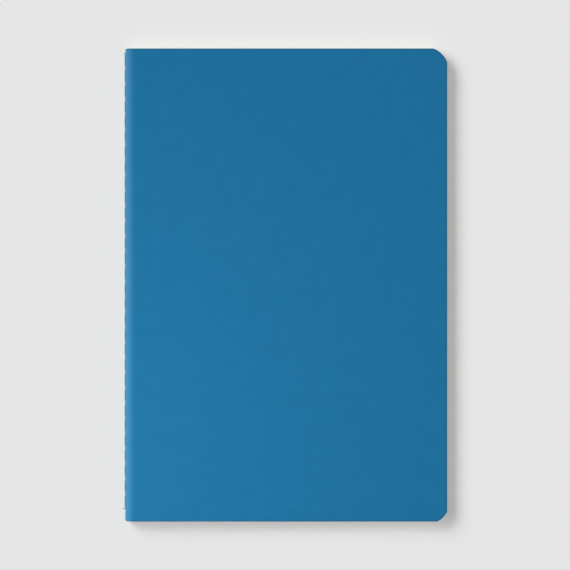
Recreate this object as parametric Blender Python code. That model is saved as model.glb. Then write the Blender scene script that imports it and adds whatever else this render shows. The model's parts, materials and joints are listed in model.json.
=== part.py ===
"""Thread-sewn notebook: one card cover and one section of folded sheets, sewn through the fold.

The notebook lies closed on its back cover. The spine is at -X, the fore-edge at +X, the head at +Y.
The fold is drawn from its nose (s, towards the fore-edge) and from the middle plane (h, upwards).
"""

import math

import bmesh
import bpy

MM = 0.001

# Trimmed size of the notebook
HEIGHT = 210.0 * MM
WIDTH = 143.0 * MM
HEAD_CORNER_RADIUS = 7.8 * MM
TAIL_CORNER_RADIUS = 6.0 * MM

# Paper and card
SHEET_COUNT = 12
PAPER = 0.10 * MM
PAPER_AIR = 0.10 * MM
CARD = 0.40 * MM

# Spine fold
NOSE_STRETCH = 1.57
OPEN_NOSE_CLEARANCE = 0.25 * MM
CARD_STRAIGHT_RUN = 0.40 * MM
FOLD_GAP = 0.30 * MM

# Cover creases, each outside the face of its cover
FRONT_CREASE_OFFSET = 0.10 * MM
BACK_CREASE_OFFSET = 0.45 * MM

# Sewing
THREAD = 0.34 * MM
STITCH_COUNT = 30
SEAM_FROM_HEAD = 2.0 * MM
SEAM_FROM_TAIL = 5.5 * MM
SEAM_GROOVE = 0.15 * MM
STRAND_GAP = 0.06 * MM
THREAD_GAP = 0.03 * MM
HOLE_CLEARANCE = 0.06 * MM
SEAM_FLAT_MARGIN = 0.15 * MM
SEAM_SHOULDER = 0.12 * MM
HEAD_TAIL_END = 1.2 * MM
TAIL_TAIL_END = 2.6 * MM

# Steps in the round stretches
BEND_STEPS = 4
CORNER_STEPS = 6
SEAM_EDGE_PARTS = 4

# The needle thread's loop round the bobbin thread: along s in thread diameters, along y in strand
# offsets from its hole, and along h in loop half heights, which are in thread diameters
LOOP_SHAPE = ((-1.85, 1.0, 0.0), (-0.90, 0.65, -0.85), (0.45, 0.35, -1.0), (1.42, 0.0, 0.0))
LOOP_HALF_HEIGHT = 1.20

# Sizes that follow from the ones above
HALF_LENGTH = HEIGHT / 2
PITCH = PAPER + PAPER_AIR
STACK = SHEET_COUNT * PITCH
HALF = STACK + CARD
THREAD_RADIUS = THREAD / 2
STRAND_OFFSET = THREAD_RADIUS + STRAND_GAP / 2
HOLE_HALF_LENGTH = STRAND_OFFSET + THREAD_RADIUS + HOLE_CLEARANCE
HOLE_HALF_HEIGHT = THREAD_RADIUS + HOLE_CLEARANCE
SEAM_FLAT = HOLE_HALF_HEIGHT + SEAM_FLAT_MARGIN
SEAM_TOP = SEAM_FLAT + SEAM_SHOULDER
TROUGH = LOOP_HALF_HEIGHT * THREAD + THREAD_RADIUS + 2 * THREAD_GAP

# The opening axis, and the circle round it that holds all that turns with the spine
AXIS_S = HALF - OPEN_NOSE_CLEARANCE
CARD_BEND_END = NOSE_STRETCH * HALF
SPINE_RADIUS = math.hypot(HALF, CARD_BEND_END + CARD_STRAIGHT_RUN - AXIS_S)
LEAF_RADIUS = SPINE_RADIUS + FOLD_GAP

# Colours, linear
CARD_BLUE = (0.016, 0.150, 0.350, 1.0)
PAPER_CREAM = (0.850, 0.820, 0.740, 1.0)
THREAD_TEAL = (0.070, 0.160, 0.220, 1.0)


def nose_height(flat):
    """Half height that a sheet takes at the fold, where the thread spreads the section."""
    return TROUGH + flat * (STACK - TROUGH) / STACK


def on_circle(radius, h):
    """Distance s from the nose to the circle round the opening axis, at height h."""
    return AXIS_S + math.sqrt(radius**2 - h**2)


def on_nose(nose, h):
    """Distance s of the rounded nose of half height nose, at height h."""
    return HALF - nose + NOSE_STRETCH * nose * (1 - math.sqrt(1 - (h / nose) ** 2))


def fold_face(flat, nose, groove=0.0):
    """Upper half of one face of a folded strip, from its free end round to the seam, as (s, h)."""
    stretch = NOSE_STRETCH * nose
    last = math.acos(SEAM_TOP / nose)
    points = [(on_circle(SPINE_RADIUS, flat), flat)]
    for step in range(BEND_STEPS + 1):
        turn = last * step / BEND_STEPS
        points.append((HALF - nose + stretch * (1 - math.sin(turn)), nose * math.cos(turn)))
    points.append((on_nose(nose, SEAM_FLAT) + groove, SEAM_FLAT))
    return points


CARD_FACES = (fold_face(STACK, STACK), fold_face(HALF, HALF, SEAM_GROOVE))
MIDDLE_NOSE = nose_height(PITCH / 2) - PAPER / 2

# The seam's places along the spine, from head to tail, and its depths from the nose
FIRST_HOLE = HALF_LENGTH - SEAM_FROM_HEAD
LAST_HOLE = -HALF_LENGTH + SEAM_FROM_TAIL
STITCH = (FIRST_HOLE - LAST_HOLE) / STITCH_COUNT
HOLES = [FIRST_HOLE - STITCH * number for number in range(STITCH_COUNT + 1)]
OUTER_RUN_S = CARD_FACES[1][-1][0] - THREAD_GAP - THREAD_RADIUS
BOBBIN_S = on_nose(MIDDLE_NOSE, SEAM_FLAT) + THREAD_GAP - LOOP_SHAPE[0][0] * THREAD

# World places: x of the nose, and the three hinge lines
LEFTMOST_S = OUTER_RUN_S - THREAD_RADIUS
NOSE_X = -(LEFTMOST_S + WIDTH) / 2
CREASE_S = on_circle(LEAF_RADIUS, HALF)
OPENING_AXIS = (NOSE_X + AXIS_S, 0.0, HALF)
FRONT_CREASE = (NOSE_X + CREASE_S, 0.0, 2 * HALF + FRONT_CREASE_OFFSET)
BACK_CREASE = (NOSE_X + CREASE_S, 0.0, -BACK_CREASE_OFFSET)


def world(s, y, h):
    """World point of a place given from the nose, along the spine and from the middle plane."""
    return (NOSE_X + s, y, HALF + h)


def clear_scene():
    for old in list(bpy.data.objects):
        bpy.data.objects.remove(old, do_unlink=True)


def make_material(name, colour, roughness):
    material = bpy.data.materials.new(name)
    material.use_nodes = True
    shader = material.node_tree.nodes["Principled BSDF"]
    shader.inputs["Base Color"].default_value = colour
    shader.inputs["Roughness"].default_value = roughness
    shader.inputs["Metallic"].default_value = 0.0
    return material


def make_pivot(name, place, parent=None):
    """An empty on a hinge line, which carries what turns there."""
    pivot = bpy.data.objects.new(name, None)
    pivot.empty_display_size = 5 * MM
    bpy.context.scene.collection.objects.link(pivot)
    pivot.parent = parent
    origin = place_of(parent)
    pivot.location = [place[i] - origin[i] for i in range(3)]
    pivot["place"] = place
    return pivot


def place_of(pivot):
    return tuple(pivot["place"]) if pivot else (0.0, 0.0, 0.0)


def add_piece(name, shape, look, pivot=None):
    """Turns a bmesh in world coordinates into an object that hangs on its pivot."""
    origin = place_of(pivot)
    bmesh.ops.translate(shape, verts=shape.verts, vec=[-value for value in origin])
    bmesh.ops.recalc_face_normals(shape, faces=shape.faces)
    mesh = bpy.data.meshes.new(name)
    shape.to_mesh(mesh)
    shape.free()
    mesh.materials.append(make_material(name + "_finish", *look))
    piece = bpy.data.objects.new(name, mesh)
    bpy.context.scene.collection.objects.link(piece)
    piece.parent = pivot
    return piece


def corner(centre_x, centre_y, radius, start):
    """Points of a quarter circle, turning left from the angle start."""
    points = []
    for step in range(CORNER_STEPS + 1):
        angle = start + math.pi / 2 * step / CORNER_STEPS
        points.append((centre_x + radius * math.cos(angle), centre_y + radius * math.sin(angle)))
    return points


def leaf_outline(start):
    """Outline of a trimmed leaf or cover from its spine edge at start, as (s, y)."""
    tail = corner(WIDTH - TAIL_CORNER_RADIUS, -HALF_LENGTH + TAIL_CORNER_RADIUS,
                  TAIL_CORNER_RADIUS, -math.pi / 2)
    head = corner(WIDTH - HEAD_CORNER_RADIUS, HALF_LENGTH - HEAD_CORNER_RADIUS,
                  HEAD_CORNER_RADIUS, 0.0)
    return [(start, -HALF_LENGTH)] + tail + head + [(start, HALF_LENGTH)]


def leaf_shape(inner, outer, side):
    """A flat leaf between two heights from the middle plane, cut to the circle at its spine edge."""
    shape = bmesh.new()
    rings = []
    for h in (inner, outer):
        outline = leaf_outline(on_circle(LEAF_RADIUS, h))
        rings.append([shape.verts.new(world(s, y, side * h)) for s, y in outline])
    for ring in rings:
        shape.faces.new(ring)
    count = len(rings[0])
    for i in range(count):
        j = (i + 1) % count
        shape.faces.new((rings[0][i], rings[0][j], rings[1][j], rings[1][i]))
    return shape


def zip_edges(shape, first, second):
    """Fills the strip between two rows of vertices that both run along y."""
    i = j = 0
    while i < len(first) - 1 or j < len(second) - 1:
        if j == len(second) - 1:
            ahead = True
        elif i == len(first) - 1:
            ahead = False
        else:
            ahead = abs(first[i + 1].co.y - second[j].co.y) < abs(second[j + 1].co.y - first[i].co.y)
        if ahead:
            shape.faces.new((first[i], first[i + 1], second[j]))
            i += 1
        else:
            shape.faces.new((first[i], second[j + 1], second[j]))
            j += 1


def seam_rows(shape, s):
    """Upper and lower rows of hole corners on the flat of the seam, and the holes' own corners."""
    holes = []
    for y in reversed(HOLES):
        corners = {}
        for along in (-1, 1):
            for up in (-1, 1):
                place = world(s, y + along * HOLE_HALF_LENGTH, up * HOLE_HALF_HEIGHT)
                corners[along, up] = shape.verts.new(place)
        holes.append(corners)
    rows = {}
    for up in (-1, 1):
        rows[up] = [hole[along, up] for hole in holes for along in (-1, 1)]
    return rows, holes


def fold_shape(inner_half, outer_half):
    """A folded strip of paper or card with a needle hole at every stitch, between its two faces."""
    shape = bmesh.new()
    faces = []
    for half in (inner_half, outer_half):
        profile = half + [(s, -h) for s, h in reversed(half)]
        seam = len(half) - 1
        lines = []
        for number, (s, h) in enumerate(profile):
            parts = SEAM_EDGE_PARTS if number in (seam, seam + 1) else 1
            step = HEIGHT / parts
            line = [shape.verts.new(world(s, -HALF_LENGTH + step * i, h)) for i in range(parts + 1)]
            lines.append(line)
        for number in range(len(lines) - 1):
            if number != seam:
                zip_edges(shape, lines[number], lines[number + 1])
        rows, holes = seam_rows(shape, half[-1][0])
        zip_edges(shape, lines[seam], rows[1])
        zip_edges(shape, lines[seam + 1], rows[-1])
        for end, along in ((0, -1), (-1, 1)):
            upper, lower = lines[seam][end], lines[seam + 1][end]
            shape.faces.new((upper, lower, holes[end][along, -1], holes[end][along, 1]))
        for one, two in zip(holes, holes[1:]):
            shape.faces.new((one[1, 1], two[-1, 1], two[-1, -1], one[1, -1]))
        faces.append((lines, holes))
    join_faces(shape, *faces)
    return shape


def join_faces(shape, inner, outer):
    """Closes a folded strip: its head and tail edges, its free ends and its needle holes' walls."""
    (inner_lines, inner_holes), (outer_lines, outer_holes) = inner, outer
    for number in range(len(inner_lines) - 1):
        for end in (0, -1):
            shape.faces.new((inner_lines[number][end], inner_lines[number + 1][end],
                             outer_lines[number + 1][end], outer_lines[number][end]))
    for number in (0, -1):
        shape.faces.new((inner_lines[number][0], inner_lines[number][-1],
                         outer_lines[number][-1], outer_lines[number][0]))
    around = ((-1, -1), (1, -1), (1, 1), (-1, 1))
    for one, two in zip(inner_holes, outer_holes):
        for start, stop in zip(around, around[1:] + around[:1]):
            shape.faces.new((one[start], one[stop], two[stop], two[start]))


def add_thread(name, route, pivot):
    """A round thread along the points of its route, closed at both ends."""
    origin = place_of(pivot)
    curve = bpy.data.curves.new(name, "CURVE")
    curve.dimensions = "3D"
    curve.bevel_depth = THREAD_RADIUS
    curve.bevel_resolution = 1
    curve.use_fill_caps = True
    spline = curve.splines.new("POLY")
    spline.points.add(len(route) - 1)
    for point, place in zip(spline.points, route):
        point.co = [place[i] - origin[i] for i in range(3)] + [1.0]
    curve.materials.append(make_material(name + "_finish", THREAD_TEAL, 0.75))
    piece = bpy.data.objects.new(name, curve)
    bpy.context.scene.collection.objects.link(piece)
    piece.parent = pivot
    return piece


def needle_route():
    """Outside from hole to hole; in each hole in, once round the bobbin thread and out again."""
    half_height = LOOP_HALF_HEIGHT * THREAD
    loop_in = [(s * THREAD, y * STRAND_OFFSET, h * half_height) for s, y, h in LOOP_SHAPE]
    loop_out = [(s, -y, -h) for s, y, h in reversed(loop_in[:-1])]
    route = [world(OUTER_RUN_S, FIRST_HOLE + STRAND_OFFSET + HEAD_TAIL_END, 0.0)]
    for y in HOLES:
        route.append(world(OUTER_RUN_S, y + STRAND_OFFSET, 0.0))
        for along_s, along_y, along_h in loop_in + loop_out:
            route.append(world(BOBBIN_S + along_s, y + along_y, along_h))
        route.append(world(OUTER_RUN_S, y - STRAND_OFFSET, 0.0))
    route.append(world(OUTER_RUN_S, LAST_HOLE - STRAND_OFFSET - TAIL_TAIL_END, 0.0))
    return route


def bobbin_route():
    """Straight along the middle of the fold, through every loop of the needle thread."""
    ends = (FIRST_HOLE + HEAD_TAIL_END, LAST_HOLE - TAIL_TAIL_END)
    return [world(BOBBIN_S, y, 0.0) for y in (ends[0], 0.0, ends[1])]


def build():
    clear_scene()
    spine_pivot = make_pivot("spine_pivot", OPENING_AXIS)
    leaves_pivot = make_pivot("front_leaves_pivot", OPENING_AXIS)
    front_pivot = make_pivot("front_cover_pivot", FRONT_CREASE, leaves_pivot)
    back_pivot = make_pivot("back_cover_pivot", BACK_CREASE)
    card_look = (CARD_BLUE, 0.65)
    paper_look = (PAPER_CREAM, 0.85)

    add_piece("front_cover", leaf_shape(STACK, HALF, 1), card_look, front_pivot)
    add_piece("cover_spine", fold_shape(*CARD_FACES), card_look, spine_pivot)
    add_piece("back_cover", leaf_shape(STACK, HALF, -1), card_look, back_pivot)

    for number in range(1, SHEET_COUNT + 1):
        middle = (SHEET_COUNT - number + 0.5) * PITCH
        flat = (middle - PAPER / 2, middle + PAPER / 2)
        nose = (nose_height(middle) - PAPER / 2, nose_height(middle) + PAPER / 2)
        name = f"sheet_{number:02d}"
        add_piece(name + "_front_leaf", leaf_shape(*flat, 1), paper_look, leaves_pivot)
        fold = fold_shape(fold_face(flat[0], nose[0]), fold_face(flat[1], nose[1]))
        add_piece(name + "_fold", fold, paper_look, spine_pivot)
        add_piece(name + "_back_leaf", leaf_shape(*flat, -1), paper_look)

    add_thread("needle_thread", needle_route(), spine_pivot)
    add_thread("bobbin_thread", bobbin_route(), spine_pivot)


build()
print("Opening axis", OPENING_AXIS, "front crease", FRONT_CREASE, "back crease", BACK_CREASE)
print("Thickness", 2 * HALF, "stitch", STITCH, "spine radius", SPINE_RADIUS)
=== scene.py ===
# %% [markdown]
# # A thread-sewn notebook
#
# The real object is one section of writing paper in a soft card cover. Twelve sheets are folded together
# inside the card and a machine sews through the fold, then the block is trimmed and its corners are cut round.
# This lesson dresses the plain solids of that notebook: each folded sheet becomes a thin curved mesh, the
# cover becomes one bent card, and the thread gets its twist.

import json
import math

import bpy
import numpy as np
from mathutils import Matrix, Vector


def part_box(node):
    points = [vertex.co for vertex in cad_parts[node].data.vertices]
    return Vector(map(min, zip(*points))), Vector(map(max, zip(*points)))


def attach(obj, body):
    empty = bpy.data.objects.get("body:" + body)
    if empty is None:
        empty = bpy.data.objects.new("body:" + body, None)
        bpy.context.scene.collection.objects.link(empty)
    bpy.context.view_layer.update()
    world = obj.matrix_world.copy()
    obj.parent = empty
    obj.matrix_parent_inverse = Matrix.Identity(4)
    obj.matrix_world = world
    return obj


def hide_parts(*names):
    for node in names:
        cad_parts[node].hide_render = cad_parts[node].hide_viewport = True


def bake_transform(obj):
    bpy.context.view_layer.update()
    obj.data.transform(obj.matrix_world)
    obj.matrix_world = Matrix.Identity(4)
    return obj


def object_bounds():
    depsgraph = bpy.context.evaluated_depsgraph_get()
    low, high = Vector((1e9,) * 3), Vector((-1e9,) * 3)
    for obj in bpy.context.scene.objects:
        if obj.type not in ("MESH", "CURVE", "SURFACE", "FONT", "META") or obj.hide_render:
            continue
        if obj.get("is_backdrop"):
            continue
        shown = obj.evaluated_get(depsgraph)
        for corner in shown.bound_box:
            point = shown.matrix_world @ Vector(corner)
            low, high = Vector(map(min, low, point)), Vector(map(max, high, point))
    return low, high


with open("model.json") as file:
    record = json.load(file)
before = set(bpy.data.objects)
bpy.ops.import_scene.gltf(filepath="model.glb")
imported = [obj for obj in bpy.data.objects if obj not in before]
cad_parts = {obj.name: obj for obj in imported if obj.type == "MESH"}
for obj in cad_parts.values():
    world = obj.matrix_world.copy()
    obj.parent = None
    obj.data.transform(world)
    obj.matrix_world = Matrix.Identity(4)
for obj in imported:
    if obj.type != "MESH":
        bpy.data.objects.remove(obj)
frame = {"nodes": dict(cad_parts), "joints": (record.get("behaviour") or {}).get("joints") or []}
solid_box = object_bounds()
MM = 0.001
print("Solids", len(frame["nodes"]), "box", [tuple(round(v / MM, 2) for v in corner) for corner in solid_box])

# %% [markdown]
# ## Measures
#
# Every place comes from the solids, so the looks fit them without any fitting afterwards. A point of the
# notebook is given as s, the distance from the spine's nose towards the fore-edge, y along the spine, and h,
# the height from the middle plane. The front half has positive h and the back half is its mirror image.

# %% Measures from the solids
JOINTS = {joint["name"]: joint for joint in frame["joints"]}
front_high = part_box("front_cover")[1]
back_low, back_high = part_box("back_cover")
bobbin_low, bobbin_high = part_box("bobbin_thread")
needle_low, needle_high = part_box("needle_thread")

CARD = back_high.z - back_low.z
HALF = front_high.z / 2
STACK = HALF - CARD
HALF_LENGTH = front_high.y
AXIS_X = JOINTS["open_middle"]["pos_m"][0]
CREASE_X = JOINTS["open_front_cover"]["pos_m"][0]
NOSE_CLEARANCE = 0.25 * MM
NOSE_X = AXIS_X - HALF + NOSE_CLEARANCE
WIDTH = front_high.x - NOSE_X
CREASE_S = CREASE_X - NOSE_X
SHEETS = sorted(node.removesuffix("_fold") for node in frame["nodes"] if node.endswith("_fold"))
print("Sheets", len(SHEETS), "width", round(WIDTH / MM, 2), "crease at", round(CREASE_S / MM, 2), "mm")

# %% [markdown]
# The trim is what the eye reads first: a straight spine with barely rounded ends, and two corners cut at the
# fore-edge. A corner knife is a quarter tube of steel, and here it took less off than its full radius, so its
# arc meets the edges at a slight angle. It cut deeper at the head than at the foot. A Bevel modifier would
# make arcs that run smoothly into both edges, so the outline is worked out from the knife instead. One
# function gives where a row across the sheet ends, and another draws the spine's two ends in, so that every
# sheet and both covers share one outline.

# %% Trimmed outline
KNIFE_RADIUS = 10.2 * MM
HEAD_CUT = 6.1 * MM
FOOT_CUT = 4.3 * MM
SPINE_END_RADIUS = 1.2 * MM


def knife_centre(cut):
    """How far inside both edges the knife's arc has its centre, if it takes a cut's length off each."""
    return (cut + math.sqrt(2 * KNIFE_RADIUS**2 - cut**2)) / 2


def row_end(y):
    """Distance s at which the row at y meets the trimmed fore-edge."""
    cut = HEAD_CUT if y > 0 else FOOT_CUT
    if abs(y) <= HALF_LENGTH - cut:
        return WIDTH
    centre = knife_centre(cut)
    past = abs(y) - (HALF_LENGTH - centre)
    return WIDTH - centre + math.sqrt(KNIFE_RADIUS**2 - past**2)


def column_squeeze(y, s):
    """Pulls the rows at the spine's two ends in, so that its corners are a little round."""
    start = HALF_LENGTH - SPINE_END_RADIUS
    past = abs(y) - start
    if past <= 0 or s >= SPINE_END_RADIUS:
        return y
    room = math.sqrt(SPINE_END_RADIUS**2 - (SPINE_END_RADIUS - max(s, 0.0)) ** 2)
    return math.copysign(start + past * room / SPINE_END_RADIUS, y)


print("Corner cuts", round(HEAD_CUT / MM, 2), "and", round(FOOT_CUT / MM, 2), "mm")

# %% [markdown]
# ## Sewing
#
# A lockstitch machine leaves a needle thread outside and a bobbin thread inside the fold. At every hole the
# needle thread goes in, round the bobbin thread and out again. The holes' places are read from the two
# threads' solids, and the sheets' rows of points are set on the holes' edges. A needle's hole is a little
# longer than it is tall, because two strands of thread lie in it side by side, and it is drawn with six sides.
# A Boolean modifier could cut the holes, but it would leave uneven faces right where the sheets bend, so the
# grid of each sheet is laid out round them.

# %% Stitch places
STITCHES = 30
THREAD = bobbin_high.z - bobbin_low.z
HEAD_TAIL_LENGTH = 1.4 * MM
FOOT_TAIL_LENGTH = 2.8 * MM
HOLE_HALF_LENGTH = 0.43 * MM
HOLE_MIDDLE = 0.28 * MM
HOLE_HALF_HEIGHT = 0.27 * MM
HOLE_NARROWING = 0.52
FIRST_HOLE = needle_high.y - HEAD_TAIL_LENGTH
LAST_HOLE = needle_low.y + FOOT_TAIL_LENGTH
STITCH = (FIRST_HOLE - LAST_HOLE) / STITCHES
HOLES = [FIRST_HOLE - STITCH * number for number in range(STITCHES + 1)]
print("Stitch", round(STITCH / MM, 3), "mm, thread", round(THREAD / MM, 3), "mm")

# %% [markdown]
# ## Paper mechanics
#
# A sheet is drawn as its middle surface only, and a Solidify modifier gives it its thickness after it has been
# bent. The middle surface is cut in two along the fold, into a front half and a back half that meet at the
# nose. Beside the fold each half eases over a short reach from its fold to its flat leaf.

# %% Folded line
NOSE_STRETCH = 1.57
NOSE_STEPS = 8
LOOSEN_LENGTH = 3.0 * MM
LOOSEN_STEPS = 4


def smooth(t):
    """Eases in and out between 0 and 1."""
    t = np.clip(t, 0.0, 1.0)
    return t * t * (3 - 2 * t)


def folded_line(nose, flat):
    """Half of a folded sheet's middle line, from its nose to where its leaf lies flat, as s and h."""
    hole = math.asin(HOLE_HALF_HEIGHT / nose)
    turn = np.append(0.0, np.linspace(hole, math.pi / 2, NOSE_STEPS))
    s = HALF - nose + NOSE_STRETCH * nose * (1 - np.cos(turn))
    h = nose * np.sin(turn)
    after = np.linspace(0, 1, LOOSEN_STEPS + 1)[1:]
    s = np.append(s, s[-1] + LOOSEN_LENGTH * after)
    h = np.append(h, nose + (flat - nose) * smooth(after))
    return s, h


print("Points across a fold", len(folded_line(STACK, STACK)[0]))

# %% [markdown]
# The thread pulls the card in a little at every hole and the card swells between them. The same pull reaches
# the sheets behind it and fades towards the innermost one.

# %% Pull of the thread
SEAM_GROOVE = 0.05 * MM
HOLE_PULL = 0.20 * MM
PULL_HEIGHT = 1.4 * MM
PULL_LENGTH = 1.1 * MM


def pull(y, h, share):
    """How far the seam draws a sheet in, towards the fore-edge, at y and h."""
    nearest = min(abs(y - hole) for hole in HOLES)
    depth = SEAM_GROOVE + HOLE_PULL * math.exp(-((nearest / PULL_LENGTH) ** 2))
    return share * depth * math.exp(-((h / PULL_HEIGHT) ** 2))


print("Pull on the card at a hole", round(pull(HOLES[0], 0.0, 1.0) / MM, 3), "mm")

# %% [markdown]
# Paper is never quite flat. A slow wave of a few hundredths of a millimetre, which shifts a little from leaf
# to leaf, is enough to break up the edge of the block. It starts beyond the fold, so the sewn part stays
# true, and it dies out towards the covers, which press the outer leaves flat. A Displace modifier would move
# the fold as well, so the wave is added to the points.

# %% Waves of the leaves
WAVE_HEIGHT = 0.06 * MM
WAVE_SHIFT = 1.75
WAVE_START = 12.0 * MM
WAVE_RAMP = 40.0 * MM
LONG_WAVE, SHORT_WAVE = 2.1, 5.3  # radians over half the spine's length
PAGE_WAVE = 2.6  # radians over the page's width


def wave(s, y, level):
    """How far a leaf at this level from the middle plane lies out of its own plane.

    Two waves run along the spine, the short one half as high, and one runs across the page.
    """
    phase = WAVE_SHIFT * level / MM
    long_part = math.sin(y / HALF_LENGTH * LONG_WAVE + phase)
    short_part = 0.5 * math.sin(y / HALF_LENGTH * SHORT_WAVE + 1.7 * phase)
    across = math.sin(s / WIDTH * PAGE_WAVE + 0.5 * phase)
    ramp = float(smooth((s - WAVE_START) / WAVE_RAMP)) * max(0.0, 1 - abs(level) / STACK)
    return WAVE_HEIGHT * ramp * (long_part + short_part + across) / 2.5


print("Wave at the middle leaf's fore-edge", round(wave(WIDTH, 0.0, 0.0) / MM, 3), "mm")

# %% [markdown]
# ## Building a sheet
#
# A subdivided plane has even steps, but a sheet needs its points at the fold, at the holes and at the cut
# edge. So one function lays out the grid of a sheet, with its rows across the spine, leaves out the needle
# holes, and keeps for every point where it lies on the flat sheet, in millimetres from the fore-edge and along
# the spine. The materials read that place, so a fibre stays where it is on the paper however the sheet bends.

# %% Rows
CORNER_STEPS = 8
LEAST_ROW_STEP = 0.05 * MM


def seam_rows(steps_between):
    """Rows at the holes' edges, with some more in between, and the trimmed corners' rows."""
    rows = {-HALF_LENGTH, HALF_LENGTH}
    for hole in HOLES:
        rows |= {hole + side * half for half in (HOLE_MIDDLE, HOLE_HALF_LENGTH) for side in (-1, 1)}
    for upper, lower in zip(HOLES, HOLES[1:]):
        top, bottom = upper - HOLE_HALF_LENGTH, lower + HOLE_HALF_LENGTH
        rows |= {top + (bottom - top) * k / (steps_between + 1) for k in range(1, steps_between + 1)}
    return rows | corner_rows()


def corner_rows():
    """Rows at even turns of the knife's two arcs, and at the spine's two ends."""
    rows = set()
    for cut, side in ((HEAD_CUT, 1), (FOOT_CUT, -1)):
        centre = knife_centre(cut)
        first, last = math.asin((centre - cut) / KNIFE_RADIUS), math.asin(centre / KNIFE_RADIUS)
        for k in range(CORNER_STEPS + 1):
            lift = KNIFE_RADIUS * math.sin(first + (last - first) * k / CORNER_STEPS)
            rows.add(side * (HALF_LENGTH - centre + lift))
    for k in range(1, CORNER_STEPS + 1):
        rows |= {side * (HALF_LENGTH - SPINE_END_RADIUS * k / CORNER_STEPS) for side in (-1, 1)}
    return rows


def tidy_rows(rows):
    """Rows in order, without any that nearly touch."""
    kept = []
    for y in sorted(rows):
        if not kept or y - kept[-1] > LEAST_ROW_STEP:
            kept.append(y)
    kept[-1] = HALF_LENGTH
    return kept


print("Rows at the trimmed corners", len(corner_rows()))

# %% Mesh and thickness
def mesh_object(name, points, faces, places):
    """A smooth mesh with sharp open edges, which remembers each point's place on the flat sheet."""
    mesh = bpy.data.meshes.new(name)
    mesh.from_pydata(points, [], faces)
    mesh.validate()
    attribute = mesh.attributes.new("place_mm", "FLOAT_VECTOR", "POINT")
    attribute.data.foreach_set("vector", np.array(places, np.float32).ravel())
    mesh.shade_smooth()
    uses = {}
    for polygon in mesh.polygons:
        for key in polygon.edge_keys:
            uses[key] = uses.get(key, 0) + 1
    for edge in mesh.edges:
        edge.use_edge_sharp = uses.get(edge.key, 0) == 1
    piece = bpy.data.objects.new(name, mesh)
    bpy.context.scene.collection.objects.link(piece)
    return piece


def thicken(piece, thickness):
    """Gives a middle surface its thickness, equally to both sides, after it has been bent."""
    solid = piece.modifiers.new("thickness", "SOLIDIFY")
    solid.thickness = thickness
    solid.offset = 0.0
    solid.use_even_offset = True
    solid.thickness_clamp = 0.0
    return piece


# %% Grid
EDGE_ZONE = 9.0 * MM
FLAT_STEPS = 7
EDGE_SHARES = (1.0, 0.6, 0.3, 0.12, 0.04, 0.0)  # of the edge's zone, closer together towards the cut
SEED_STEP = 40.0  # moves the pattern on from sheet to sheet, in mm


def flat_columns(start):
    """Columns of a flat leaf as s, up to where the trimmed edge takes over."""
    return list(np.linspace(start, WIDTH - EDGE_ZONE, FLAT_STEPS + 1)[1:])


def narrowed(row, y):
    """A row of points, which closes in on the needle hole where it is at one of a hole's two ends."""
    to_end = min(abs(abs(y - hole) - HOLE_HALF_LENGTH) for hole in HOLES)
    if to_end > LEAST_ROW_STEP:
        return list(row)
    s_nose = row[0][0]
    s_rim, h_rim, away = row[1]
    rim = (s_nose + (s_rim - s_nose) * HOLE_NARROWING**2, h_rim * HOLE_NARROWING, away)
    return [row[0], rim] + row[2:]


def lay_sheet(name, side, line, rows, seed, to_edge, share=0.0, has_holes=True):
    """The middle surface of half a sheet, as an object. Share is how much of the seam's pull it takes."""
    s_line, h_line = line
    arc = np.append(0.0, np.cumsum(np.hypot(np.diff(s_line), np.diff(h_line))))
    beyond = (WIDTH - s_line[-1]) + arc[-1] - arc
    fixed = [(s, h, away) for s, h, away in zip(s_line, h_line, beyond)]
    if to_edge:
        fixed += [(s, h_line[-1], WIDTH - s) for s in flat_columns(s_line[-1])]
    points, places, width = [], [], 0
    for y in rows:
        row = narrowed(fixed, y) if has_holes else list(fixed)
        if to_edge:
            last, end = row.pop()[0], row_end(y)
            for share_left in EDGE_SHARES:
                s = end - (end - last) * share_left
                row.append((s, h_line[-1], WIDTH - s))
        width = len(row)
        for s, h, away in row:
            moved_s = s + pull(y, h, share)
            moved_y = column_squeeze(y, s)
            lift = side * h + wave(s, y, side * h_line[-1])
            points.append((NOSE_X + moved_s, moved_y, HALF + lift))
            places.append((away / MM, y / MM, seed * SEED_STEP))
    faces = []
    for j in range(len(rows) - 1):
        middle = (rows[j] + rows[j + 1]) / 2
        in_hole = has_holes and min(abs(middle - hole) for hole in HOLES) < HOLE_HALF_LENGTH
        for i in range(width - 1):
            if not (in_hole and i == 0):
                a, b = j * width + i, (j + 1) * width + i
                faces.append((a, a + 1, b + 1, b) if side > 0 else (a, b, b + 1, a + 1))
    return mesh_object(name, points, faces, places)


print("Points across the flat part of a leaf", FLAT_STEPS - 1 + len(EDGE_SHARES))

# %% [markdown]
# ## Colours and nodes
#
# Colours are written as sRGB hex codes, the way a colour picker shows them, and one function turns them to
# the linear values that Blender mixes. One more helper adds a node with its settings and its links.

# %% Colour and node helpers
MIX_FACTOR, MIX_A, MIX_B, MIX_RESULT = 0, 6, 7, 2  # a Mix node's colour sockets


def colour(code):
    """Linear red, green, blue and alpha of an sRGB hex code."""
    parts = [int(code[i:i + 2], 16) / 255 for i in (1, 3, 5)]
    return tuple(v / 12.92 if v <= 0.04045 else ((v + 0.055) / 1.055) ** 2.4 for v in parts) + (1.0,)


def add_node(tree, kind, inputs=None, **settings):
    """Adds a node. Settings are its properties; inputs are values or other nodes' outputs."""
    new = tree.nodes.new(kind)
    for key, value in settings.items():
        setattr(new, key, value)
    for key, value in (inputs or {}).items():
        if isinstance(value, bpy.types.NodeSocket):
            tree.links.new(value, new.inputs[key])
        else:
            new.inputs[key].default_value = value
    return new


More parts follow.
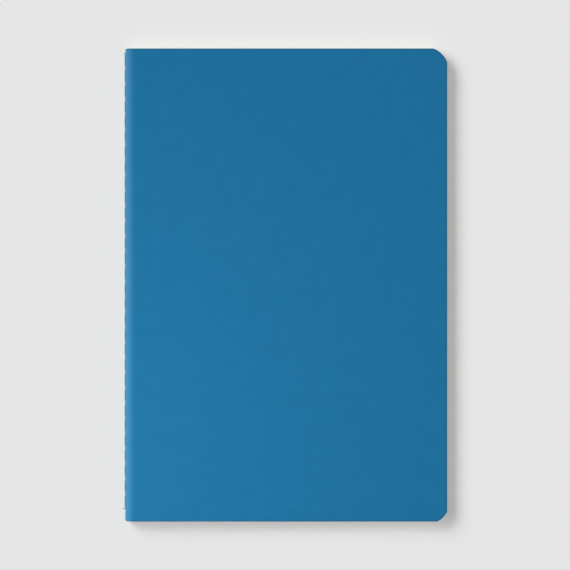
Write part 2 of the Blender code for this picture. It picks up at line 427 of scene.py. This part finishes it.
def start_material(name, **shader_values):
    """A material with one principled shader, whose plain values stay on its own sockets."""
    material = bpy.data.materials.new(name)
    material.use_nodes = True
    shader = material.node_tree.nodes["Principled BSDF"]
    for key, value in shader_values.items():
        shader.inputs[key.replace("_", " ")].default_value = value
    return material, material.node_tree, shader


print("Middle grey #808080 is", round(colour("#808080")[0], 3), "in linear light")

# %% [markdown]
# Both card and paper are darker along the trimmed edge. On the card that band is mostly painted shade, for
# the rounded cut edge turning away from the light, and partly the darker line where the knife packed the
# fibres. The paper's cut edges are a shade darker than its faces. It could be painted on an image, but worked
# out from each point's place it stays sharp at any distance.
# The distance to the outline is the least of three: to the fore-edge, to the head or foot, and to the knife's
# arc.

# %% Distance to the trimmed edge
def place_on_sheet(tree):
    """The place of a point: on a sheet, millimetres from the fore-edge, along the spine, and a seed; on a
    thread, millimetres around and along it, and its painted valley shade.
    """
    return add_node(tree, "ShaderNodeAttribute", attribute_name="place_mm").outputs["Vector"]


def edge_distance(tree, place):
    """Millimetres from the trimmed outline, which has two cut corners."""
    parts = add_node(tree, "ShaderNodeSeparateXYZ", {0: place})
    height = add_node(tree, "ShaderNodeMath", {0: parts.outputs[1]}, operation="ABSOLUTE")
    down = add_node(tree, "ShaderNodeMath", {0: HALF_LENGTH / MM, 1: height.outputs[0]}, operation="SUBTRACT")
    centre = add_node(tree, "ShaderNodeMapRange", {
        "Value": parts.outputs[1], "From Min": -1.0, "From Max": 1.0,
        "To Min": knife_centre(FOOT_CUT) / MM, "To Max": knife_centre(HEAD_CUT) / MM})
    short_x = add_node(tree, "ShaderNodeMath", {0: centre.outputs[0], 1: parts.outputs[0]},
                       operation="SUBTRACT")
    short_y = add_node(tree, "ShaderNodeMath", {0: centre.outputs[0], 1: down.outputs[0]},
                       operation="SUBTRACT")
    over_x = add_node(tree, "ShaderNodeMath", {0: short_x.outputs[0], 1: 0.0}, operation="MAXIMUM")
    over_y = add_node(tree, "ShaderNodeMath", {0: short_y.outputs[0], 1: 0.0}, operation="MAXIMUM")
    both = add_node(tree, "ShaderNodeCombineXYZ", {0: over_x.outputs[0], 1: over_y.outputs[0]})
    reach = add_node(tree, "ShaderNodeVectorMath", {0: both.outputs[0]}, operation="LENGTH")
    to_arc = add_node(tree, "ShaderNodeMath", {0: KNIFE_RADIUS / MM, 1: reach.outputs["Value"]},
                      operation="SUBTRACT")
    to_edge = add_node(tree, "ShaderNodeMath", {0: parts.outputs[0], 1: down.outputs[0]}, operation="MINIMUM")
    return add_node(tree, "ShaderNodeMath", {0: to_arc.outputs[0], 1: to_edge.outputs[0]},
                    operation="MINIMUM").outputs[0]


print("The knife's arcs have their centres", round(knife_centre(HEAD_CUT) / MM, 2), "and",
      round(knife_centre(FOOT_CUT) / MM, 2), "mm inside the edges")

# %% [markdown]
# ## Dyed card
#
# The cover is wood-pulp card of about 300 g/m2, dyed through and smoothed between steel rollers, with no
# coating. To the eye it is matt with a faint cloudiness, where the pulp settled unevenly, and short fibres
# that lie along the machine direction. Uncoated card has an IOR near 1.5 and a roughness of about 0.7. Its
# loose fibres send back less of a highlight than a smooth face would, so its specular level is low. The
# clouds are 6 to 10 mm across. Real fibres are 0.03 mm wide, which no render shows at this size, so they are
# drawn 0.25 mm wide and 1.5 mm long, as a stretched noise and not one by one. The bend was creased, and a
# paler blue is painted along it as a highlight, for the light the bend catches from the left. This painted
# highlight makes the spine read as a soft light stripe.

# %% Dyed card
NOISE_RANGE = (0.3, 0.7)  # nearly all the values of a noise texture lie between these
CARD_BLUE = colour("#106894")
CARD_BLUE_DEEP = colour("#0F648F")
CARD_FIBRE = colour("#1D729A")
FOLD_PAINTED_HIGHLIGHT = colour("#78B6C8")
PAINTED_HIGHLIGHT_SHARE = 0.15
PAINTED_HIGHLIGHT_REACH = 4.5
CARD_ROUGHNESS = (0.67, 0.73)
CARD_EDGE_SHADE = 0.84
CARD_EDGE_SHADE_REACH = 1.2
CLOUD_SIZE = 8.0
FIBRE_WIDTH = 0.25
FIBRE_LENGTH = 1.5
FIBRES_FROM = (0.54, 0.74)
FIBRES_SHOWING = 0.7
GRAIN_SIZE = 0.35


def dyed_card():
    material, tree, shader = start_material("dyed_card", IOR=1.5, Roughness=0.7, Specular_IOR_Level=0.2)
    place = place_on_sheet(tree)
    cloud = add_node(tree, "ShaderNodeTexNoise", {"Vector": place, "Scale": 1 / CLOUD_SIZE, "Detail": 3.0})
    lying = add_node(tree, "ShaderNodeMapping", {
        "Vector": place, "Scale": (1 / FIBRE_WIDTH, 1 / FIBRE_LENGTH, 1.0)})
    fibre = add_node(tree, "ShaderNodeTexNoise", {"Vector": lying.outputs[0], "Scale": 1.0, "Detail": 2.0})
    grain = add_node(tree, "ShaderNodeTexNoise", {"Vector": place, "Scale": 1 / GRAIN_SIZE, "Detail": 2.0})
    tone = add_node(tree, "ShaderNodeMapRange", {
        "Value": cloud.outputs[0], "From Min": NOISE_RANGE[0], "From Max": NOISE_RANGE[1],
        "To Min": 0.2, "To Max": 0.8})
    base = add_node(tree, "ShaderNodeMix", {
        MIX_FACTOR: tone.outputs[0], MIX_A: CARD_BLUE, MIX_B: CARD_BLUE_DEEP}, data_type="RGBA")
    showing = add_node(tree, "ShaderNodeMapRange", {
        "Value": fibre.outputs[0], "From Min": FIBRES_FROM[0], "From Max": FIBRES_FROM[1],
        "To Min": 0.0, "To Max": FIBRES_SHOWING})
    fibrous = add_node(tree, "ShaderNodeMix", {
        MIX_FACTOR: showing.outputs[0], MIX_A: base.outputs[MIX_RESULT], MIX_B: CARD_FIBRE}, data_type="RGBA")
    to_fold = add_node(tree, "ShaderNodeSeparateXYZ", {0: place}).outputs[0]
    # Painted highlight: a paler blue is mixed in along the bend, where the bend catches the light from the left.
    painted_highlight_mask = add_node(tree, "ShaderNodeMapRange", {
        "Value": to_fold, "From Min": WIDTH / MM - PAINTED_HIGHLIGHT_REACH, "From Max": WIDTH / MM,
        "To Min": 0.0, "To Max": PAINTED_HIGHLIGHT_SHARE}, interpolation_type="SMOOTHSTEP")
    with_painted_highlight = add_node(tree, "ShaderNodeMix", {
        MIX_FACTOR: painted_highlight_mask.outputs[0], MIX_A: fibrous.outputs[MIX_RESULT], MIX_B: FOLD_PAINTED_HIGHLIGHT}, data_type="RGBA")
    # Painted shade: a band along the trimmed outline is darkened for the rounded cut edge turning from the
    # light, with a little of the knife's packed fibres.
    near_edge = add_node(tree, "ShaderNodeMapRange", {
        "Value": edge_distance(tree, place), "From Min": 0.0, "From Max": CARD_EDGE_SHADE_REACH,
        "To Min": CARD_EDGE_SHADE, "To Max": 1.0})
    trimmed = add_node(tree, "ShaderNodeVectorMath", {
        0: with_painted_highlight.outputs[MIX_RESULT], "Scale": near_edge.outputs[0]}, operation="SCALE")
    tree.links.new(trimmed.outputs[0], shader.inputs["Base Color"])
    rough = add_node(tree, "ShaderNodeMapRange", {
        "Value": cloud.outputs[0], "From Min": NOISE_RANGE[0], "From Max": NOISE_RANGE[1],
        "To Min": CARD_ROUGHNESS[0], "To Max": CARD_ROUGHNESS[1]})
    tree.links.new(rough.outputs[0], shader.inputs["Roughness"])
    relief = add_node(tree, "ShaderNodeMath", {0: fibre.outputs[0], 1: grain.outputs[0]}, operation="ADD")
    bump = add_node(tree, "ShaderNodeBump", {
        "Height": relief.outputs[0], "Strength": 0.3, "Distance": 0.05 * MM})
    tree.links.new(bump.outputs[0], shader.inputs["Normal"])
    return material


card_finish = dyed_card()
print("Finish", card_finish.name, len(card_finish.node_tree.nodes), "nodes")

# %% [markdown]
# ## Writing paper
#
# The leaves are uncoated wood-free writing paper of 80 g/m2 in a warm ivory. It is quite rough and gives no
# highlight. Its formation, the cloudiness seen against the light, is faint and 3 to 5 mm across. The cut
# edges are drawn a shade darker than the faces, which also keeps them from sending much light back onto the
# table.

# %% Writing paper
PAPER_IVORY = colour("#F1EBDC")
PAPER_SHADE = colour("#E9E1CE")
PAPER_EDGE = 0.78
PAPER_EDGE_REACH = 0.5
FORMATION_SIZE = 4.0
PAPER_GRAIN = 0.3


def writing_paper():
    material, tree, shader = start_material("writing_paper", IOR=1.5, Roughness=0.85)
    place = place_on_sheet(tree)
    cloud = add_node(tree, "ShaderNodeTexNoise", {"Vector": place, "Scale": 1 / FORMATION_SIZE, "Detail": 4.0})
    grain = add_node(tree, "ShaderNodeTexNoise", {"Vector": place, "Scale": 1 / PAPER_GRAIN, "Detail": 2.0})
    tone = add_node(tree, "ShaderNodeMapRange", {
        "Value": cloud.outputs[0], "From Min": NOISE_RANGE[0], "From Max": NOISE_RANGE[1],
        "To Min": 0.15, "To Max": 0.65})
    base = add_node(tree, "ShaderNodeMix", {
        MIX_FACTOR: tone.outputs[0], MIX_A: PAPER_IVORY, MIX_B: PAPER_SHADE}, data_type="RGBA")
    near_edge = add_node(tree, "ShaderNodeMapRange", {
        "Value": edge_distance(tree, place), "From Min": 0.0, "From Max": PAPER_EDGE_REACH,
        "To Min": PAPER_EDGE, "To Max": 1.0})
    trimmed = add_node(tree, "ShaderNodeVectorMath", {
        0: base.outputs[MIX_RESULT], "Scale": near_edge.outputs[0]}, operation="SCALE")
    tree.links.new(trimmed.outputs[0], shader.inputs["Base Color"])
    bump = add_node(tree, "ShaderNodeBump", {
        "Height": grain.outputs[0], "Strength": 0.15, "Distance": 0.02 * MM})
    tree.links.new(bump.outputs[0], shader.inputs["Normal"])
    return material


paper_finish = writing_paper()
print("Finish", paper_finish.name, len(paper_finish.node_tree.nodes), "nodes")

# %% [markdown]
# ## Polyester thread
#
# The seam is sewn with three-ply spun polyester of about 0.3 mm, dyed a darker, greyer blue than the card.
# The plies are modelled, and the valleys between them are painted darker as shade. Each ply is itself a twist
# of fine fibres, which a small stripe across the ply suggests, and the loose fibres give it a soft sheen at
# grazing angles.

# %% Polyester thread
THREAD_DARK = colour("#24485A")
THREAD_LIGHT = colour("#527F93")
FIBRE_STRIPE = 0.12
STRIPE_DEPTH = 0.15
PATCH_SIZE = 0.6


def polyester_thread():
    material, tree, shader = start_material(
        "polyester_thread", IOR=1.54, Roughness=0.55, Sheen_Weight=0.25, Sheen_Roughness=0.4)
    place = place_on_sheet(tree)
    parts = add_node(tree, "ShaderNodeSeparateXYZ", {0: place})
    slant = add_node(tree, "ShaderNodeMath", {0: parts.outputs[0], 1: parts.outputs[1]}, operation="ADD")
    stripe = add_node(tree, "ShaderNodeMath", {0: slant.outputs[0], 1: 2 * math.pi / FIBRE_STRIPE},
                      operation="MULTIPLY")
    ridge = add_node(tree, "ShaderNodeMath", {0: stripe.outputs[0]}, operation="SINE")
    patchy = add_node(tree, "ShaderNodeTexNoise", {"Vector": place, "Scale": 1 / PATCH_SIZE, "Detail": 3.0})
    mixed = add_node(tree, "ShaderNodeMath", {0: ridge.outputs[0], 1: STRIPE_DEPTH, 2: patchy.outputs[0]},
                     operation="MULTIPLY_ADD")
    # Painted shade: the place's third value darkens the mix in the valleys between the plies.
    pattern_and_valley_shade = add_node(tree, "ShaderNodeMath", {0: mixed.outputs[0], 1: parts.outputs[2]}, operation="MULTIPLY",
                      use_clamp=True)
    base = add_node(tree, "ShaderNodeMix", {
        MIX_FACTOR: pattern_and_valley_shade.outputs[0], MIX_A: THREAD_DARK, MIX_B: THREAD_LIGHT}, data_type="RGBA")
    tree.links.new(base.outputs[MIX_RESULT], shader.inputs["Base Color"])
    bump = add_node(tree, "ShaderNodeBump", {
        "Height": ridge.outputs[0], "Strength": 0.3, "Distance": 0.01 * MM})
    tree.links.new(bump.outputs[0], shader.inputs["Normal"])
    return material


thread_finish = polyester_thread()
print("Finish", thread_finish.name, len(thread_finish.node_tree.nodes), "nodes")

# %% [markdown]
# ## The folded sheets
#
# All the sheets come from one loop. Sheet 01 lies next to the card and has the widest fold, and each one
# inside it has a tighter fold. The heights of the leaves and the half heights of the folds are read from
# the solids.

# %% Sheets
EDGE_FULLNESS = 1.25
SHEET_ROWS = tidy_rows(seam_rows(1))


def halves_meet_at(piece, s_nose, share):
    """Bakes the piece's place into its points."""
    s_nose += share * (SEAM_GROOVE + HOLE_PULL / 2)  # where the seam's pull has moved the nose to
    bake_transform(piece)


def make_sheet(number, sheet):
    leaf_low, leaf_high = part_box(sheet + "_front_leaf")
    fold_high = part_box(sheet + "_fold")[1]
    paper = leaf_high.z - leaf_low.z
    flat = (leaf_high.z + leaf_low.z) / 2 - HALF
    nose = fold_high.z - HALF - paper / 2
    inward = number / (len(SHEETS) - 1)
    line = folded_line(nose, flat)
    halves = []
    for side, half, nodes in ((1, "front", ("_front_leaf", "_fold")), (-1, "back", ("_back_leaf",))):
        name = f"paper_{number + 1:02d}_{half}"
        seed = number * 2 + (side > 0)
        piece = lay_sheet(name, side, line, SHEET_ROWS, seed, True, 1 - inward)
        piece.data.materials.append(paper_finish)
        thicken(piece, EDGE_FULLNESS * paper)
        halves_meet_at(piece, line[0][0], 1 - inward)
        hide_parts(*[sheet + node for node in nodes])
        halves.append(piece)
    print("Sheet", number + 1, "half height of its fold", round(nose / MM, 2), "mm")
    return halves


papers = [half for number, sheet in enumerate(SHEETS) for half in make_sheet(number, sheet)]

# %% [markdown]
# ## The card cover
#
# The cover is one card, bent once round the section. It is made in four lengths that meet in flat or
# level places: two halves of the spine's bend, and two panels that run across their creases. Their edges
# meet exactly and share one finish, so the card reads as one piece.

# %% Card cover
CARD_MIDDLE = HALF - CARD / 2
CREASE_REACH = 0.45 * MM
PANEL_START = CREASE_S - CREASE_REACH
CREASE_STEPS = 8
CARD_SEED = 30
BEND_STEPS = 16
PANEL_STEPS = 31
SPINE_ROWS = tidy_rows(seam_rows(7))
PANEL_ROWS = tidy_rows(corner_rows() | set(np.linspace(-HALF_LENGTH, HALF_LENGTH, PANEL_STEPS)))


def spine_line():
    """The card's middle line from its nose to where the panel starts."""
    hole = math.asin(HOLE_HALF_HEIGHT / CARD_MIDDLE)
    turn = np.append(0.0, np.linspace(hole, math.pi / 2, BEND_STEPS))
    s = HALF - CARD_MIDDLE + NOSE_STRETCH * CARD_MIDDLE * (1 - np.cos(turn))
    h = CARD_MIDDLE * np.sin(turn)
    return np.append(s, PANEL_START), np.append(h, CARD_MIDDLE)


def panel_line():
    """The card's middle line across its crease and a little beyond."""
    s = np.append(np.linspace(PANEL_START, CREASE_S + CREASE_REACH, CREASE_STEPS + 1), 2 * CREASE_S)
    return s, np.full(len(s), CARD_MIDDLE)


for side, half, leaves, cover in ((1, "front", "front_leaves", "front_cover"),
                                  (-1, "back", "back_leaves", "back_cover")):
    bend = lay_sheet(f"card_spine_{half}", side, spine_line(), SPINE_ROWS, CARD_SEED, False, 1.0)
    panel = lay_sheet(f"card_panel_{half}", side, panel_line(), PANEL_ROWS, CARD_SEED, True, has_holes=False)
    for piece in (bend, panel):
        piece.data.materials.append(card_finish)
        thicken(piece, CARD)
    s_nose = spine_line()[0][0]
    halves_meet_at(bend, s_nose, 1.0)
    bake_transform(panel)
    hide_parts("cover_spine")
    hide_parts(cover)
    print("Card", half, len(bend.data.vertices), len(panel.data.vertices), "points")

# %% [markdown]
# ## The threads
#
# The needle thread is one long route through 31 holes, and the bobbin thread is nearly straight. A smooth
# curve is drawn through each route's points, and a three-lobed section is swept along it while it turns,
# which is what a three-ply thread looks like. A curve object with a round bevel would be quicker, but it would
# look like wire. A frame that never twists by itself is carried along the curve, so the only turn is the
# ply's own.

# %% Thread section and sweep
PLY_PITCH = 1.2 * MM
PLY_DEPTH = 0.2
RING_POINTS = 12
RING_STEP = 0.15 * MM
END_TAPER = 0.55
# Painted shade: the thread's colour is darkened towards the valleys between its plies, where shade falls.
VALLEY_SHADE_LEVEL = 0.7  # share of the radius that would read as fully dark, a little under the valleys' own


def smooth_route(route, step):
    """Evenly spaced points on a smooth curve through the route's points."""
    route = np.array(route, float)
    padded = np.vstack([2 * route[0] - route[1], route, 2 * route[-1] - route[-2]])
    found = []
    for k in range(1, len(padded) - 2):
        before, here, there, after = padded[k - 1:k + 3]
        count = max(4, int(np.linalg.norm(there - here) / step * 2))
        t = (np.arange(count) / count)[:, None]
        bend = 2 * before - 5 * here + 4 * there - after
        swing = 3 * here - before - 3 * there + after
        found.append(0.5 * (2 * here + (there - before) * t + bend * t**2 + swing * t**3))
    dense = np.vstack(found + [route[-1:]])
    length = np.append(0.0, np.cumsum(np.linalg.norm(np.diff(dense, axis=0), axis=1)))
    even = np.linspace(0, length[-1], max(2, int(length[-1] / step)) + 1)
    return np.stack([np.interp(even, length, dense[:, axis]) for axis in range(3)], 1), even


def carried_frames(points):
    """Two directions across the curve at each point, carried along without any twist of their own."""
    ahead = np.gradient(points, axis=0)
    ahead /= np.linalg.norm(ahead, axis=1)[:, None]
    side = np.cross(ahead[0], (0.0, 0.0, 1.0) if abs(ahead[0][2]) < 0.9 else (1.0, 0.0, 0.0))
    sides = []
    for direction in ahead:
        side = side - direction * side.dot(direction)
        side = side / np.linalg.norm(side)
        sides.append(side)
    sides = np.array(sides)
    return sides, np.cross(ahead, sides)


def twisted_thread(name, route):
    """A three-ply thread along a route, closed at both ends."""
    points, length = smooth_route(route, RING_STEP)
    across, up = carried_frames(points)
    angle = np.arange(RING_POINTS) * 2 * math.pi / RING_POINTS
    lobe = 1 - PLY_DEPTH * (1 - np.abs(np.cos(1.5 * angle)))
    count = len(points)
    vertices, places = [], []
    for k in range(count):
        turned = angle + 2 * math.pi * length[k] / PLY_PITCH
        taper = END_TAPER if k in (0, count - 1) else 1.0
        offset = THREAD / 2 * taper * lobe[:, None] * (
            np.cos(turned)[:, None] * across[k] + np.sin(turned)[:, None] * up[k])
        vertices.extend(points[k] + offset)
        around = angle / (2 * math.pi) * math.pi * THREAD / MM
        # Painted shade: how far a point lies out of a ply's valley, which darkens the thread's colour there.
        shade = (lobe - VALLEY_SHADE_LEVEL) / (1 - VALLEY_SHADE_LEVEL)
        places.extend(np.stack([around, np.full(RING_POINTS, length[k] / MM), shade], 1))
    faces = []
    for k in range(count - 1):
        for i in range(RING_POINTS):
            j = (i + 1) % RING_POINTS
            a, b = k * RING_POINTS, (k + 1) * RING_POINTS
            faces.append((a + i, a + j, b + j, b + i))
    faces.append(tuple(range(RING_POINTS))[::-1])
    faces.append(tuple((count - 1) * RING_POINTS + i for i in range(RING_POINTS)))
    return mesh_object(name, vertices, faces, places)


print("The plies turn once in", round(PLY_PITCH / MM, 2), "mm")

# %% [markdown]
# The needle thread lies on the spine between the holes, a touch proud at the middle of each stitch, and
# dives where the card is pulled in. Its two cut ends stand out from the spine, a short one near the head
# and a longer one near the foot.

# %% Needle and bobbin threads
STRAND = 0.20 * MM
THREAD_OUT = -0.10 * MM
BOBBIN_S = (bobbin_low.x + bobbin_high.x) / 2 - NOSE_X
LOOP = 0.41 * MM
LOOP_END = 0.48 * MM
LIFT_OFF = 0.75 * MM
HEAD_END = ((-0.15, -0.12, 0.03), (-0.58, -0.42, 0.08))
FOOT_END = ((-0.20, 0.10, 0.0), (-0.65, 0.25, -0.05), (-1.10, 0.32, -0.1))


def at(s, y, h):
    """A point given as s, y and h, in Blender's own axes."""
    return (NOSE_X + s, y, HALF + h)


def through_hole(hole):
    """In beside the outgoing strand, once round the bobbin thread, and out again."""
    inward = [(0.12 * MM, STRAND, 0.0), (0.8 * MM, STRAND, 0.0), (BOBBIN_S - 0.63 * MM, STRAND, 0.0),
              (BOBBIN_S - 0.3 * MM, 0.65 * STRAND, -0.85 * LOOP), (BOBBIN_S + 0.15 * MM, 0.35 * STRAND, -LOOP)]
    outward = [(s, -y, -h) for s, y, h in reversed(inward)]
    return [at(s, hole + y, h) for s, y, h in inward + [(BOBBIN_S + LOOP_END, 0.0, 0.0)] + outward]


def needle_route():
    route = [at(s * MM, FIRST_HOLE + STRAND + y * MM, h * MM) for s, y, h in reversed(HEAD_END)]
    for number, hole in enumerate(HOLES):
        route += through_hole(hole)
        if number < STITCHES:
            route.append(at(THREAD_OUT + 0.04 * MM, hole - LIFT_OFF, 0.0))
            route.append(at(THREAD_OUT, hole - STITCH / 2, 0.0))
            route.append(at(THREAD_OUT + 0.04 * MM, hole - STITCH + LIFT_OFF, 0.0))
    return route + [at(s * MM, LAST_HOLE - STRAND + y * MM, h * MM) for s, y, h in FOOT_END]


def bobbin_route():
    count = 2 * STITCHES + 1
    ends = (bobbin_high.y, bobbin_low.y)
    return [at(BOBBIN_S, ends[0] + (ends[1] - ends[0]) * k / (count - 1), 0.0) for k in range(count)]


for name, route, node in (("thread_needle", needle_route(), "needle_thread"),
                          ("thread_bobbin", bobbin_route(), "bobbin_thread")):
    thread = twisted_thread(name, route)
    thread.data.materials.append(thread_finish)
    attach(thread, "spine")
    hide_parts(node)
    print("Thread", name, len(thread.data.vertices), "points")

# %% [markdown]
# ## Stage, light and camera
#
# The notebook lies on a plain pale table, and the camera looks straight down through a long lens. The shadow
# tells where the light is. It reaches 9 mm past the fore-edge and 7 mm past the foot of a block 5.6 mm thick,
# so the main light stands low at the upper left, and it is as tall as a window. Half of the light stays where
# that window is hidden, so the other half comes from straight above.

# %% Table
TABLE_WHITE = 0.87
TABLE_HALF = 4.0
TABLE_DROP = 0.02 * MM


def make_table():
    corners = [(-TABLE_HALF, -TABLE_HALF), (TABLE_HALF, -TABLE_HALF), (TABLE_HALF, TABLE_HALF),
               (-TABLE_HALF, TABLE_HALF)]
    mesh = bpy.data.meshes.new("table")
    mesh.from_pydata([(x, y, -TABLE_DROP) for x, y in corners], [], [(0, 1, 2, 3)])
    surface = bpy.data.objects.new("table", mesh)
    bpy.context.scene.collection.objects.link(surface)
    material = start_material(
        "matt_table", Base_Color=(TABLE_WHITE, TABLE_WHITE, TABLE_WHITE, 1.0), Roughness=0.9,
        Specular_IOR_Level=0.0)[0]
    surface.data.materials.append(material)
    surface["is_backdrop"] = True
    return surface


table = make_table()
print("Table", 2 * TABLE_HALF, "m across")

# %% [markdown]
# A distant lamp's level is what it adds to a white table, so the levels of the window, the ceiling and the
# room add up to about 0.9. The ceiling stays out of reflections, because matt card would look grey under it.
# Three more lamps are flagged off the table, which a studio does with black card. A low fill reaches
# the pages' edges, a rim lamp far to the left grazes the bend, and a soft box near the lower left makes that
# corner of the cover brighter. The soft box is kept off the pages too, which it would burn out when they are
# open.

# %% Lamps
WINDOW = ((-1.1, 1.05, 0.18), (-1.1, 0.6, 0.17), (-0.8, -0.05, 0.10))
WINDOW_SPREAD = 32.0
CEILING_LEVEL = 0.35
CEILING_SPREAD = 17.0
FILL = (2.0, -2.0, 0.045)
FILL_SPREAD = 40.0
RIM = (-6.0, 0.5, 0.028)
RIM_SPREAD = 24.0
SOFT_BOX_PLACE = (-0.15, -0.10, 0.20)
SOFT_BOX_SIZE = 0.1
SOFT_BOX_POWER = 0.21


def add_lamp(name, kind, toward):
    """A lamp that shines from the direction of toward."""
    lamp = bpy.data.objects.new(name, bpy.data.lights.new(name, kind))
    lamp.rotation_mode = "QUATERNION"
    lamp.rotation_quaternion = Vector(toward).to_track_quat("Z", "Y")
    lamp.visible_camera = False
    bpy.context.scene.collection.objects.link(lamp)
    return lamp


def distant_lamp(name, lean_x, lean_y, level, spread):
    """A far lamp, which adds its level to a white table."""
    toward = Vector((lean_x, lean_y, 1.0)).normalized()
    lamp = add_lamp(name, "SUN", toward)
    lamp.data.energy = math.pi * level / toward.z
    lamp.data.angle = math.radians(spread)
    return lamp


def keep_off(lamp, pieces):
    """Flags a lamp, so that it doesn't reach these pieces."""
    flag = bpy.data.collections.new(lamp.name + "_flag")
    for piece in pieces:
        flag.objects.link(piece)
    for entry in flag.collection_objects:
        entry.light_linking.link_state = "EXCLUDE"
    lamp.light_linking.receiver_collection = flag


for number, (lean_x, lean_y, level) in enumerate(WINDOW):
    distant_lamp(f"window_{number + 1}", lean_x, lean_y, level, WINDOW_SPREAD)
ceiling = distant_lamp("ceiling", 0.0, 0.0, CEILING_LEVEL, CEILING_SPREAD)
ceiling.visible_glossy = False
keep_off(distant_lamp("low_fill", *FILL, FILL_SPREAD), [table])
keep_off(distant_lamp("rim", *RIM, RIM_SPREAD), [table])

soft_box = add_lamp("soft_box", "AREA", SOFT_BOX_PLACE)
soft_box.location = SOFT_BOX_PLACE
soft_box.data.size = SOFT_BOX_SIZE
soft_box.data.energy = SOFT_BOX_POWER
keep_off(soft_box, [table] + papers)

# %% [markdown]
# A studio is never quite black, because its walls send some light back from all sides. Where the camera looks
# past the table it sees a pale backdrop, as if paper hung there.

# %% Room
ROOM_LIGHT = 0.10
BACKDROP = 0.78


def make_room():
    """An even, dim room light, and a pale backdrop where the camera sees past the table."""
    world = bpy.data.worlds.new("room")
    bpy.context.scene.world = world
    world.use_nodes = True
    tree = world.node_tree
    path = add_node(tree, "ShaderNodeLightPath")
    level = add_node(tree, "ShaderNodeMapRange", {
        "Value": path.outputs["Is Camera Ray"], "To Min": ROOM_LIGHT, "To Max": BACKDROP})
    tree.links.new(level.outputs[0], tree.nodes["Background"].inputs["Strength"])
    tree.nodes["Background"].inputs["Color"].default_value = (1.0, 1.0, 1.0, 1.0)


make_room()
print("Room light", ROOM_LIGHT, "backdrop", BACKDROP)

# %% [markdown]
# The photograph was taken from straight above and shows no perspective, so the camera hangs high over the
# notebook with a long lens. The lens follows from how much of the table one pixel covers. The notebook's
# centre lies a little beside the picture's middle, so the camera moves by that much and needs no lens shift.

# %% Camera
PICTURE = 570
MM_PER_PIXEL = 0.4440
PICTURE_CENTRE = (285.85, 285.0)
CAMERA_HEIGHT = 2.0
SENSOR = 36.0


def make_camera():
    data = bpy.data.cameras.new("camera")
    data.sensor_width = SENSOR
    data.lens = SENSOR * CAMERA_HEIGHT / (PICTURE * MM_PER_PIXEL * MM)
    data.clip_start = 0.1
    data.clip_end = 50.0
    camera = bpy.data.objects.new("camera", data)
    shift_x = (PICTURE / 2 - PICTURE_CENTRE[0]) * MM_PER_PIXEL * MM
    shift_y = (PICTURE_CENTRE[1] - PICTURE / 2) * MM_PER_PIXEL * MM
    camera.location = (shift_x, shift_y, 2 * HALF + CAMERA_HEIGHT)
    bpy.context.scene.collection.objects.link(camera)
    bpy.context.scene.camera = camera
    bpy.context.scene.view_settings.view_transform = "Standard"
    return camera


print("Lens", round(make_camera().data.lens, 1), "mm")

# %% [markdown]
# ## Size
#
# The dressed notebook has to fill the solids' box. Only the two cut thread ends stand out of it, and the
# seam's pull moves some leaves' edges by a few hundredths of a millimetre. Both boxes are printed.

# %% Size
bpy.context.view_layer.update()
boxes = {"solid": [list(corner) for corner in solid_box], "visual": [list(corner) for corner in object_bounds()]}
for name, box in boxes.items():
    print("Box of the", name, "in mm", [[round(v / MM, 2) for v in corner] for corner in box])
